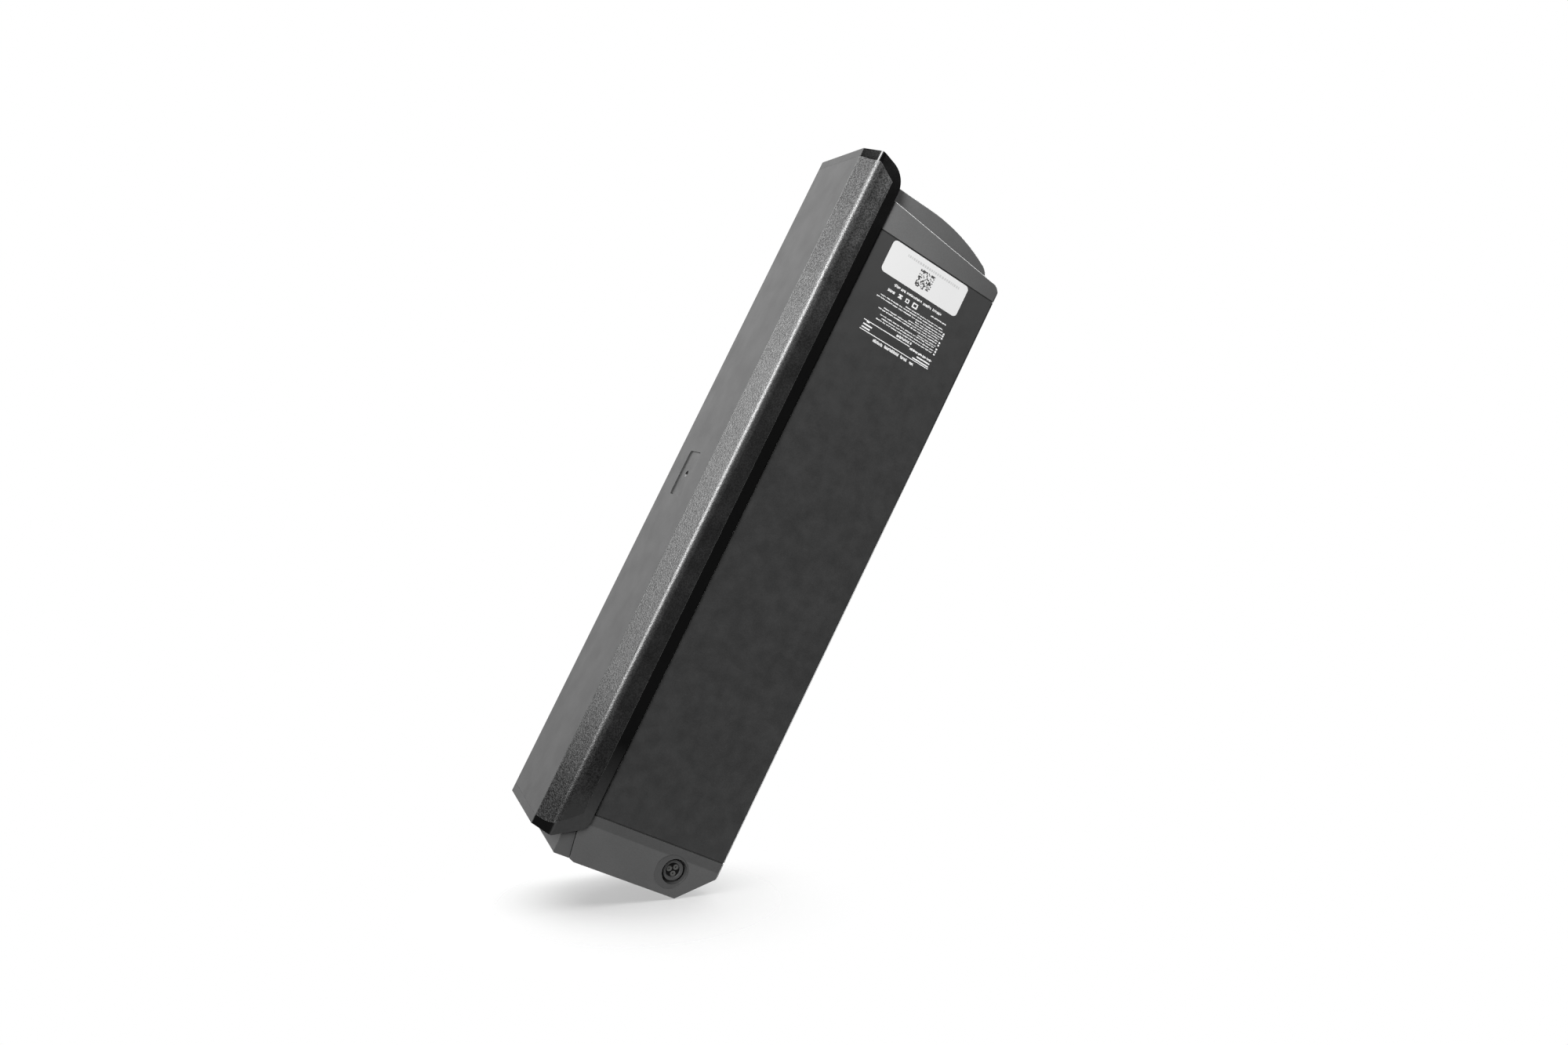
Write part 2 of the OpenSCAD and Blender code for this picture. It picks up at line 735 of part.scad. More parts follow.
// Rows of plain bars in place of the rating text. They end on one line, nearest the back.
PRINT_ROWS = 15;
print_low = 23;
print_high = 77;
print_t = 0.06;
module rating_print() {
    color("#e4e4e4") translate([x_nose_seam - 26.5, -case_w / 2 - 0.01 - print_t, print_low])
        for (i = [0:PRINT_ROWS - 1]) {
            w = (print_high - print_low) * (0.8 + 0.2 * cos(i * 97));
            translate([-2.6 * i - 0.9, 0, 0]) cube([0.9, print_t, w]);
        }
}

// ---- Cells ----

// One cell along Y with its positive end at +Y
module cell() {
    r = cell_d / 2;
    l = cell_len;
    rotate([-90, 0, 0]) translate([0, 0, -l / 2]) rotate_extrude() polygon([
        [0, 0], [r - 0.8, 0], [r, 0.8], [r, l - 6], [r - 0.7, l - 5.4], [r - 0.7, l - 4.6],
        [r, l - 4], [r, l - 1], [r - 0.8, l - 0.3], [r - 2.4, l - 0.3], [r - 2.4, l - 0.9],
        [4.6, l - 0.9], [4.2, l], [0, l]]);
}

function column_x(g) = stack_x + (g - 0.5) * pitch;
function row_z(k) = stack_z + (k + 0.5) * pitch;

module cell_group(g) {
    color("#3f7fae") for (k = [0:ROWS - 1]) translate([column_x(g), 0, row_z(k)])
        mirror([0, g % 2, 0]) cell();
}

module cell_holder(side) {
    color("#2a2b2d") difference() {
        translate([stack_x, side > 0 ? holder_in : -cell_len / 2, stack_z])
            cube([stack_len, cell_len / 2 - holder_in, stack_h]);
        for (g = [1:GROUPS], k = [0:ROWS - 1]) translate([column_x(g), 0, row_z(k)])
            rod_y(cell_d / 2 + 0.05, side > 0 ? holder_in - 1 : -cell_len / 2 - 1,
                side > 0 ? cell_len / 2 + 1 : -holder_in + 1);
    }
}

module cell_holder_left() cell_holder(-1);

module cell_holder_right() cell_holder(1);

// One plate joins each pair of neighbouring groups, with a single group at one end
module nickel_strips(side) {
    first = side > 0 ? 0 : 1;
    color("#b8b6b0") for (g = [first:2:GROUPS]) {
        g0 = max(g, 1);
        g1 = min(g + 1, GROUPS);
        translate([column_x(g0) - 9, side > 0 ? cell_len / 2 + 0.03 : -cell_len / 2 - 0.03 - nickel_t,
            row_z(0) - 9])
            cube([column_x(g1) - column_x(g0) + 18, nickel_t, row_z(ROWS - 1) - row_z(0) + 18]);
    }
}

module nickel_strips_left() nickel_strips(-1);

module nickel_strips_right() nickel_strips(1);

module insulation_sheets() {
    color("#c9b98d") for (s = [-1, 1]) translate([stack_x + stack_len / 2, s * (cell_len / 2 + 0.9), 0])
        translate([0, 0, case_h / 2]) centred([stack_len + 4, 0.3, case_h - 2 * case_wall - 1]);
}

module foam_pads() {
    color("#33342f") for (x = [stack_x - 3.1, stack_x + stack_len + 0.1])
        translate([x, -32, stack_z]) cube([3, 64, stack_h]);
}

// ---- Protection board, fuse and leads ----

module bms_board() {
    color("#1c4f30") translate([bms_x, -bms_w / 2, (case_h - bms_h) / 2]) difference() {
        cube([1.6, bms_w, bms_h]);
        for (y = [4, bms_w - 4], z = [4, bms_h - 4]) translate([0, y, z]) rod_x(1.6, -1, 3);
    }
}

module bms_mosfets() {
    color("#1b1b1c") for (i = [-3:3], z = [0, 1]) translate([bms_x + 1.65, 8.4 * i - 3, 34 + z * 24])
        cube([4.4, 6.2, 15]);
}

module bms_heatsink() {
    color("#b3b5b7") translate([bms_x + 6.1, -30, 33]) union() {
        cube([2.5, 60, 44]);
        for (i = [0:9]) translate([2.4, 1 + 6.2 * i, 0]) cube([4.5, 1.6, 44]);
    }
}

module bms_terminals() {
    color("#d6d3c6") {
        translate([bms_x - 6.05, -18, case_h - 20]) cube([6, 36, 6]);
        for (y = [-24, -8, 8, 24]) translate([bms_x + 1.65, y - 4, 12]) cube([6, 8, 9]);
    }
}

module pack_fuse() {
    color("#b8743a") translate([bms_x - 9, 20, 24]) difference() {
        cube([8, 10, 30]);
        translate([4, 5, -1]) cylinder(d = 4.1, h = 4);
        translate([4, 5, 28]) cylinder(d = 4.1, h = 4);
    }
}

// A flat strap from the first group's plate, along the gap, and down to the board
module negative_strap() {
    y = -24;
    x0 = stack_x - 4.3;
    x1 = bms_x - 3;
    color("#1a1a1a") {
        translate([x0, y - 4, run_z]) cube([x1 - x0, 8, 1]);
        translate([x0, y - 4, run_z - 16]) cube([1, 8, 16 + eps]);
        translate([x1 - 1, y - 4, run_z - 30]) cube([1, 8, 30 + eps]);
        translate([x1 - eps, y - 4, run_z - 30]) cube([3, 8, 1]);
    }
}

module balance_ribbon() {
    x1 = bms_x - 8;
    color("#c0392b") {
        translate([stack_x + 2, -2, run_z]) cube([x1 - stack_x - 2, 16, 0.9]);
        translate([x1 - 0.9, -2, case_h - 17]) cube([0.9, 16, run_z - case_h + 17 + eps]);
        translate([x1 - eps, -2, case_h - 17]) cube([1.9, 16, 0.9]);
    }
}

module charge_leads() {
    y = socket_pos[1] + 17;
    xs = socket_pos[0];
    z = run_z + 1.2;
    color("#202022") for (k = [0, 1]) {
        o = 4 * k;
        x0 = xs + 4.2 * k - 2.1;
        lead([[x0, y, socket_z - 1.2], [x0, y + 4, socket_z - 1],
            [xs + 2 + o, y + 7, socket_z + 4], [x_seam + 4, y + 4 + o, socket_z + 16],
            [x_seam + 14, y + 8 + o, 60], [x_seam + 20, y + 11 + o, z - 9],
            [x_seam + 24, y + 12 + o, z - 2], [x_seam + 30, y + 12 + o, z],
            [x_seam + 60, y + 12 + o, z], [stack_x + stack_len - 20, y + 12 + o, z],
            [stack_x + stack_len + 1, y + 12 + o, z], [bms_x - 7, y + 12 + o, z - 1.2],
            [bms_x - 4.5, y + 12 + o, z - 5], [bms_x - 2.5, y + 12 + o, z - 8],
            [bms_x - 0.4, y + 12 + o, z - 8.6]], 2, [0.3, 0.2, 1]);
    }
}

module discharge_leads() {
    x0 = bms_x + 7.8;
    for (s = [-1, 1]) color(s > 0 ? "#b02020" : "#18181a")
        lead([[x0, 24 * s, 16.5], [x0 + 8, 24 * s, 16.5], [x0 + 16, 24 * s, 22],
            [x0 + 22, 23 * s, 34], [x0 + 28, 21 * s, 50], [x0 + 36, 16 * s, 64],
            [x0 + 48, 13 * s, dis_z - 4], [x0 + 58, 11.5 * s, dis_z],
            [dis_x - 22.2, 11.5 * s, dis_z]], 4.4, [0.1, 1, 0.1]);
}

module indicator_ribbon() {
    color("#8f9092") {
        translate([panel_x - 5, -3, board_z - 0.65]) cube([10, 6, 0.6]);
        translate([panel_x + 4.4, -3, case_h - 1.2]) cube([0.6, 6, board_z - case_h + 0.65]);
    }
}

case_sleeve();
connector_end_cap();
latch_block();
nose_end_cap();
connector_gasket();
nose_gasket();
cover_base();
cover_skin();
cover_gasket();
indicator_panel();
state_button();
button_dome();
indicator_board();
indicator_leds();
light_guide();
charge_socket_shell();
charge_socket_insert();
charge_socket_contacts();
charge_socket_nut();
charge_socket_seal();
lock_bush();
discharge_connector_body();
discharge_power_blades();
discharge_signal_pins();
discharge_connector_screws();
connector_cap_screws();
nose_cap_screws();
latch_block_screws();
identity_label();
rating_print();
cell_group(1);  // cell_group_01
cell_group(2);  // cell_group_02
cell_group(3);  // cell_group_03
cell_group(4);  // cell_group_04
cell_group(5);  // cell_group_05
cell_group(6);  // cell_group_06
cell_group(7);  // cell_group_07
cell_group(8);  // cell_group_08
cell_group(9);  // cell_group_09
cell_group(10);  // cell_group_10
cell_group(11);  // cell_group_11
cell_group(12);  // cell_group_12
cell_group(13);  // cell_group_13
cell_holder_left();
cell_holder_right();
nickel_strips_left();
nickel_strips_right();
insulation_sheets();
foam_pads();
bms_board();
bms_mosfets();
bms_heatsink();
bms_terminals();
pack_fuse();
negative_strap();
balance_ribbon();
charge_leads();
discharge_leads();
indicator_ribbon();
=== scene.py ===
import math
import random

import bmesh
import bpy
from mathutils import Matrix, Vector


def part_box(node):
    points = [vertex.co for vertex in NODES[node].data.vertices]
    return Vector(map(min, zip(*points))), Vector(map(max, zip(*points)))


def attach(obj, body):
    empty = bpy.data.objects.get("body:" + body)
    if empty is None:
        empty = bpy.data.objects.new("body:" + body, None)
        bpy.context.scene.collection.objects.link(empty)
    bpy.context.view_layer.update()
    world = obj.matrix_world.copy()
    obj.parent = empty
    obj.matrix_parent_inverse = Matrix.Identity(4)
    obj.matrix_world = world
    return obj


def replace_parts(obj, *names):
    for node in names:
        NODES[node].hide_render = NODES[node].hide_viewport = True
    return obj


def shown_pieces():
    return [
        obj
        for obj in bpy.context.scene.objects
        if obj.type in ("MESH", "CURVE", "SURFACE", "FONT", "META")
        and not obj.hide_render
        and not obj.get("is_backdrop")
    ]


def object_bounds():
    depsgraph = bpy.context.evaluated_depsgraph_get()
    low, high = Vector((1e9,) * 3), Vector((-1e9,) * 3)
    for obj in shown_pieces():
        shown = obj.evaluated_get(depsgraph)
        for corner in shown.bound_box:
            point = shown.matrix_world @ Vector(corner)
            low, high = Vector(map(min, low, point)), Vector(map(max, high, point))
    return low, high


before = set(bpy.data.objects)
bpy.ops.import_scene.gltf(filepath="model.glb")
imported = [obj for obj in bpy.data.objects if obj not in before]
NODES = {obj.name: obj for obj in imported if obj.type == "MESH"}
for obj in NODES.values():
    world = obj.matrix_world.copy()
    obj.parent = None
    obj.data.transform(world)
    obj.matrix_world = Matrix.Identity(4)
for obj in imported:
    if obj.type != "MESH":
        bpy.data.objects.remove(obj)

MM = 0.001
CAD_BOX = [list(c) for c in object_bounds()]
LOW, HIGH = (Vector(c) for c in CAD_BOX)
CENTRE = (LOW + HIGH) / 2


def corners(node):
    low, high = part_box(node)
    return Vector(low), Vector(high)


CASE_LOW, CASE_HIGH = corners("case_sleeve")
SKIN_LOW, SKIN_HIGH = corners("cover_skin")
SIDE_Y = corners("connector_end_cap")[0].y      # the plane of the case's near side
SEAM_X = CASE_LOW.x - 0.5 * MM                  # middle of the seam at the connector cap
NOSE_SEAM_X = CASE_HIGH.x + 0.5 * MM            # and of the one at the nose cap
CASE_TOP = corners("nose_end_cap")[1].z - 0.5 * MM

# ---- Camera: the photograph's viewing angle ----

CAMERA_AT = (-0.04884, -0.75225, 0.37365)
CAMERA_RIGHT = (0.4363, -0.38333, -0.81406)
CAMERA_UP = (0.89725, 0.11725, 0.42567)
LENS, SENSOR = 28.757, 36


def axes_matrix(x, y, z, at):
    """A placing matrix from three axes and a point."""
    m = Matrix((x, y, z)).transposed().to_4x4()
    m.translation = at
    return m


def make_camera():
    data = bpy.data.cameras.new("camera")
    data.lens, data.sensor_width = LENS, SENSOR
    data.clip_start = 0.01
    cam = bpy.data.objects.new("camera", data)
    right, up = Vector(CAMERA_RIGHT).normalized(), Vector(CAMERA_UP).normalized()
    cam.matrix_world = axes_matrix(right, up, right.cross(up), CAMERA_AT)
    bpy.context.scene.collection.objects.link(cam)
    bpy.context.scene.camera = cam


# ---- Node materials ----

class Tree:
    """A small helper round one material's nodes."""

    def __init__(self, name):
        self.mat = bpy.data.materials.new(name)
        self.mat.use_nodes = True
        self.tree = self.mat.node_tree
        self.tree.nodes.clear()
        self.out = self.add("ShaderNodeOutputMaterial")
        self.bsdf = self.add("ShaderNodeBsdfPrincipled")
        self.link(self.bsdf.outputs[0], self.out.inputs["Surface"])
        self.coords = self.add("ShaderNodeTexCoord").outputs["Object"]

    def add(self, kind, **values):
        n = self.tree.nodes.new(kind)
        for key, value in values.items():
            setattr(n, key, value)
        return n

    def link(self, a, b):
        self.tree.links.new(a, b)

    def put(self, socket, value):
        if isinstance(value, bpy.types.NodeSocket):
            self.link(value, socket)
        else:
            socket.default_value = value

    def noise(self, scale, detail=3.0, stretch=None, rough=0.55):
        n = self.add("ShaderNodeTexNoise")
        n.inputs["Scale"].default_value = scale
        n.inputs["Detail"].default_value = detail
        n.inputs["Roughness"].default_value = rough
        at = self.coords
        if stretch:
            m = self.add("ShaderNodeMapping")
            m.inputs["Scale"].default_value = stretch
            self.link(at, m.inputs["Vector"])
            at = m.outputs[0]
        self.link(at, n.inputs["Vector"])
        return n.outputs["Fac"]

    def cells(self, scale):
        n = self.add("ShaderNodeTexVoronoi")
        n.inputs["Scale"].default_value = scale
        self.link(self.coords, n.inputs["Vector"])
        return n.outputs["Distance"]

    def ramp(self, value, a, b, c=0.0, d=1.0):
        n = self.add("ShaderNodeMapRange")
        for key, v in zip(("From Min", "From Max", "To Min", "To Max"), (a, b, c, d)):
            self.put(n.inputs[key], v)
        self.put(n.inputs["Value"], value)
        return n.outputs["Result"]

    def math(self, what, a, b=0.0, clamp=False):
        n = self.add("ShaderNodeMath", operation=what, use_clamp=clamp)
        self.put(n.inputs[0], a)
        self.put(n.inputs[1], b)
        return n.outputs[0]

    def mix(self, factor, a, b):
        """Mixes two colours."""
        n = self.add("ShaderNodeMix", data_type="RGBA")
        self.put(n.inputs["Factor"], factor)
        self.put(n.inputs[6], a)
        self.put(n.inputs[7], b)
        return n.outputs[2]

    def blend(self, factor, a, b):
        """Mixes two numbers."""
        n = self.add("ShaderNodeMix", data_type="FLOAT")
        self.put(n.inputs["Factor"], factor)
        self.put(n.inputs[2], a)
        self.put(n.inputs[3], b)
        return n.outputs[0]

    def axis(self, name):
        n = self.add("ShaderNodeSeparateXYZ")
        self.link(self.coords, n.inputs[0])
        return n.outputs[name]

    def edges(self, radius, low=0.90, high=0.995):
        """1 along sharp edges and 0 away from them."""
        bevel = self.add("ShaderNodeBevel", samples=6)
        bevel.inputs["Radius"].default_value = radius
        geometry = self.add("ShaderNodeNewGeometry")
        dot = self.add("ShaderNodeVectorMath", operation="DOT_PRODUCT")
        self.link(bevel.outputs[0], dot.inputs[0])
        self.link(geometry.outputs["Normal"], dot.inputs[1])
        return self.ramp(dot.outputs["Value"], low, high, 1.0, 0.0)

    def product(self, *values):
        result = values[0]
        for value in values[1:]:
            result = self.math("MULTIPLY", result, value)
        return result

    def rest(self, value):
        """1 minus value."""
        return self.math("SUBTRACT", 1.0, value)

    def scaled(self, colour, factor):
        """A colour, fixed or from a socket, times a number."""
        n = self.add("ShaderNodeVectorMath", operation="SCALE")
        self.put(n.inputs[0], colour if isinstance(colour, bpy.types.NodeSocket) else colour[:3])
        self.link(factor, n.inputs["Scale"])
        return n.outputs[0]

    def bump(self, height, strength, distance):
        n = self.add("ShaderNodeBump")
        self.put(n.inputs["Height"], height)
        self.put(n.inputs["Strength"], strength)
        n.inputs["Distance"].default_value = distance
        self.link(n.outputs[0], self.bsdf.inputs["Normal"])


def grey(v, tint=(1.0, 1.0, 1.0)):
    return (v * tint[0], v * tint[1], v * tint[2], 1.0)


TINT = (0.997, 1.0, 1.003)      # the dark plastics are neutral, by a hair on the cool side


def back_corner(t):
    """A factor for roughness: 1, and less round the case's back corners."""
    return t.ramp(t.axis("Z"), 1.3 * MM, 1.9 * MM, 0.5, 1.0)


ROUGH_VARIES = 0.06


def surface(name, colour, rough, *, metal=0.0, specular=0.5, grain=900.0, depth=0.03, blotch=0.12,
            blotch_scale=22.0, wear=0.15, wear_colour=None, stretch=None, coat=0.0,
            edge=0.5 * MM, polished=False):
    """A material with soft blotches, fine grain in bump and roughness, and lighter worn edges.
    polished makes the case's long back corners smoother."""
    t = Tree(name)
    wide = t.ramp(t.noise(blotch_scale, 2.0), 0.3, 0.7, 1 - blotch, 1 + blotch)
    fine = t.noise(grain, 3.0, stretch)
    speck = t.ramp(fine, 0.25, 0.75, 1 - blotch * 0.5, 1 + blotch * 0.5)
    base = t.scaled(colour, t.product(wide, speck))
    worn = t.product(t.edges(edge), t.ramp(t.noise(160.0, 4.0), 0.35, 0.7), wear)
    light = wear_colour or tuple(min(1.0, c * 3 + 0.06) for c in colour[:3]) + (1.0,)
    t.link(t.mix(worn, base, light), t.bsdf.inputs["Base Color"])
    r = t.ramp(t.noise(blotch_scale * 3, 3.0), 0.3, 0.7, rough - ROUGH_VARIES, rough + ROUGH_VARIES)
    r = t.math("ADD", r, t.ramp(fine, 0.3, 0.7, -ROUGH_VARIES * 0.5, ROUGH_VARIES * 0.5), True)
    if polished:
        r = t.product(r, back_corner(t))
    t.link(r, t.bsdf.inputs["Roughness"])
    t.bump(fine, depth * 10, 0.05 * MM)
    t.bsdf.inputs["Metallic"].default_value = metal
    t.bsdf.inputs["Specular IOR Level"].default_value = specular
    t.bsdf.inputs["Coat Weight"].default_value = coat
    return t.mat


def dress(mat, *names):
    for name in names:
        o = NODES[name]
        o.data.materials.clear()
        o.data.materials.append(mat)


# The skin: smooth satin on its flat top, moulded grain on the chamfers and sides
FLAT_GREY = 0.02
GRAIN_GREY = 0.036
# Painted shade: the side walls' grey is a far darker copy of the chamfers' grained grey.
PAINTED_SHADE_SIDE_GREY = 0.005
# Painted light: low on the side towards the nose, the side walls are painted paler.
PAINTED_LIGHT_NOSE_SIDE_GREY = 0.055      # low on the side, at the nose
SMOOTH_GREY = 0.022         # where the grain has run out, at the connector end


def on_flat(t, z):
    """1 on the cover's flat top and 0 below it."""
    return t.ramp(z, SKIN_HIGH.z - 0.35 * MM, SKIN_HIGH.z - 0.1 * MM)


def skin_material():
    t = Tree("cover_skin_moulded")
    z, x = t.axis("Z"), t.axis("X")

    def down(a, b, start=0.0, end=1.0):
        """A ramp in height: start at a mm below the skin's top and end at b mm below it."""
        return t.ramp(z, SKIN_HIGH.z - a * MM, SKIN_HIGH.z - b * MM, start, end)

    flat = on_flat(t, z)
    side = down(14.0, 10.0, 1.0, 0.0)
    tail = t.ramp(x, SKIN_LOW.x + 14 * MM, SKIN_LOW.x + 95 * MM, 1.0, 0.0)
    nose = t.ramp(x, SKIN_HIGH.x - 150 * MM, SKIN_HIGH.x)
    # Towards the connector end the moulded grain runs out on the side walls.
    smooth_end = t.product(side, t.ramp(x, SKIN_LOW.x + 12 * MM, SKIN_LOW.x + 40 * MM, 1.0, 0.0))
    grainy = t.rest(t.math("MAXIMUM", flat, smooth_end))
    # The rounded edge between chamfer and side is rubbed a little smoother.
    edge = t.product(down(7.6, 8.4), down(13.5, 11.5))

    # Colour
    wide = t.ramp(t.noise(14.0, 2.0), 0.3, 0.7, 0.97, 1.03)
    patches = t.ramp(t.noise(55.0, 3.0), 0.35, 0.65, 0.55, 1.6)
    coarse = t.math("MAXIMUM", t.product(nose, 0.75), tail)     # the grain is coarsest at the ends
    speck = t.ramp(t.noise(1350.0, 0.5, None, 0.5), 0.36, 0.64, t.blend(coarse, 0.62, 0.25),
                   t.blend(coarse, 1.38, 1.75))
    # Painted shade on the side walls, with painted light low on the side towards the nose.
    low_side = t.product(down(12.0, 20.0, 0.1, 1.0), down(20.5, 22.5, 1.0, 0.55))
    side_grey_with_painted_light = t.mix(t.product(nose, nose, low_side), grey(PAINTED_SHADE_SIDE_GREY, TINT), grey(PAINTED_LIGHT_NOSE_SIDE_GREY, TINT))
    side_grey_with_painted_light = t.mix(smooth_end, side_grey_with_painted_light, grey(SMOOTH_GREY, TINT))
    colour = t.mix(flat, t.mix(side, grey(GRAIN_GREY, TINT), side_grey_with_painted_light), grey(FLAT_GREY, TINT))
    shade = t.product(wide, t.blend(grainy, 1.0, speck))
    shade = t.product(shade, t.blend(t.product(side, grainy), 1.0, patches))
    # Painted shade: away from the flat and the side walls, the moulding's colour and shine are darkened
    # towards both of its ends.
    painted_end_shade = t.product(t.rest(t.product(tail, 0.70)), t.rest(t.product(nose, 0.38, t.rest(edge))))
    painted_end_shade = t.blend(t.math("MAXIMUM", flat, side), painted_end_shade, 1.0)
    worn = t.product(t.edges(0.35 * MM, 0.75, 0.95), t.blend(smooth_end, 0.3, 0.04))
    t.link(t.mix(worn, t.scaled(colour, t.product(shade, painted_end_shade)), grey(0.35)),
           t.bsdf.inputs["Base Color"])

    # Roughness, relief and shine
    haze = t.ramp(t.noise(70.0, 3.0), 0.3, 0.7, -0.03, 0.03)
    rough = t.blend(grainy, 0.40, t.blend(edge, 0.47, 0.36))
    rough = t.blend(smooth_end, rough, 0.30)
    t.link(t.math("ADD", rough, haze, True), t.bsdf.inputs["Roughness"])
    pebbles = t.math("ADD", t.product(t.cells(1300.0), -1.2), t.noise(1700.0, 1.0))
    relief = t.blend(grainy, 0.05, t.blend(edge, t.blend(coarse, 0.40, 0.55), 0.32))
    t.bump(t.blend(grainy, t.noise(3000.0, 2.0), pebbles), relief, 0.16 * MM)
    shine = t.blend(grainy, 0.7, t.product(t.blend(edge, 0.9, 1.0), painted_end_shade))
    shine = t.product(t.blend(side, shine, 0.35),
                      t.blend(grainy, 1.0, t.ramp(speck, 0.2, 1.8, 0.65, 1.3)))
    t.link(shine, t.bsdf.inputs["Specular IOR Level"])
    return t.mat


def base_material():
    """Gloss black, running out to smooth dark grey round the side walls' connector end; on the flat top a
    lighter grey is painted in as a painted reflection.
    """
    t = Tree("gloss_black")
    z, x = t.axis("Z"), t.axis("X")
    low = t.ramp(z, SKIN_HIGH.z - 10.6 * MM, SKIN_HIGH.z - 9.6 * MM, 1.0, 0.0)
    grey_end = t.product(low, t.ramp(x, SKIN_LOW.x + 14 * MM, SKIN_LOW.x + 60 * MM, 1.0, 0.0))
    flat = on_flat(t, z)
    speck = t.ramp(t.noise(600.0, 3.0), 0.3, 0.7, 0.9, 1.1)
    colour = t.mix(grey_end, grey(0.0025), grey(0.026, TINT))
    # Painted reflection: on the flat top the gloss black is coloured a lighter grey, standing in for the
    # light it reflects there.
    t.link(t.scaled(t.mix(flat, colour, grey(0.03, TINT)), speck), t.bsdf.inputs["Base Color"])
    rough = t.blend(flat, t.blend(grey_end, 0.11, 0.33), 0.40)
    t.link(t.math("ADD", rough, t.ramp(t.noise(60.0, 3.0), 0.3, 0.7, -0.02, 0.03)),
           t.bsdf.inputs["Roughness"])
    t.bump(t.noise(900.0, 2.0), t.blend(grey_end, 0.02, 0.12), 0.05 * MM)
    t.bsdf.inputs["Specular IOR Level"].default_value = 0.5
    return t.mat


CAP_WEAR = 0.1


def cap_material(name, value, painted_band_shade=0.0, painted_light_slope=0.0, line=False):
    """Fine moulded plastic. The three optional arguments, in order, paint shade on the strip beside the
    connector seam, paint light that makes the cap lighter towards the cover and darker towards its back, and
    paint a highlight, a pale line, on the nose skirt's outer edge."""
    t = Tree(name)
    z, x = t.axis("Z"), t.axis("X")
    shade = t.ramp(t.noise(24.0, 3.0), 0.3, 0.7, 0.93, 1.07)
    shade = t.product(shade, t.ramp(t.noise(1400.0, 2.0), 0.3, 0.7, 0.93, 1.07))
    # Painted shade on the strip beside the connector seam.
    if painted_band_shade:
        shade = t.product(shade, t.ramp(x, SEAM_X - 7.2 * MM, SEAM_X - 6.4 * MM, 1.0, 1.0 - painted_band_shade))
    # Painted light: lighter towards the cover and darker towards the case's back.
    if painted_light_slope:
        shade = t.product(shade, t.ramp(z, 0.0, CASE_TOP, 1.0 - painted_light_slope, 1.0 + painted_light_slope))
    rubbed = t.product(t.edges(0.4 * MM, 0.86, 0.98), t.ramp(t.noise(120.0, 3.0), 0.3, 0.6, 0.5, 1.0))
    colour = t.mix(t.product(rubbed, CAP_WEAR), t.scaled(grey(value, TINT), shade), grey(0.4))
    # Painted highlight: a pale line along the nose skirt's outer edge.
    if line:
        outer = t.ramp(x, NOSE_SEAM_X + 6 * MM, NOSE_SEAM_X + 8 * MM)
        colour = t.mix(t.product(t.edges(0.7 * MM, 0.88, 0.98), outer), colour, grey(0.95))
    t.link(colour, t.bsdf.inputs["Base Color"])
    t.link(t.product(t.ramp(t.noise(60.0, 3.0), 0.3, 0.7, 0.42, 0.52), back_corner(t)),
           t.bsdf.inputs["Roughness"])
    t.bump(t.noise(1500.0, 2.0), 0.2, 0.05 * MM)
    t.bsdf.inputs["Specular IOR Level"].default_value = 0.5
    return t.mat


def button_material():
    """Satin black with a dimpled top, whose shading is painted: painted shade towards the nose and a painted
    highlight on the opposite wall.
    """
    t = Tree("button_satin")
    low, high = corners("state_button")
    middle, x = (low.x + high.x) / 2, t.axis("X")
    # Painted shade and highlight of a dimple: pale on the half away from the nose, near black towards the
    # nose, and darker again at the pale half's rim.
    painted_dimple_light = t.ramp(x, middle - 0.7 * MM, middle - 0.1 * MM, 0.20, 0.003)
    rim = t.ramp(x, low.x + 0.15 * MM, low.x + 0.5 * MM, 0.1, 1.0)
    grain = t.ramp(t.noise(1800.0, 3.0), 0.3, 0.7, 0.9, 1.1)
    t.link(t.scaled(TINT, t.product(painted_dimple_light, rim, grain)), t.bsdf.inputs["Base Color"])
    t.link(t.ramp(t.noise(300.0, 2.0), 0.3, 0.7, 0.5, 0.6), t.bsdf.inputs["Roughness"])
    t.bump(t.noise(1800.0, 3.0), 0.1, 0.05 * MM)
    t.bsdf.inputs["Specular IOR Level"].default_value = 0.15
    return t.mat


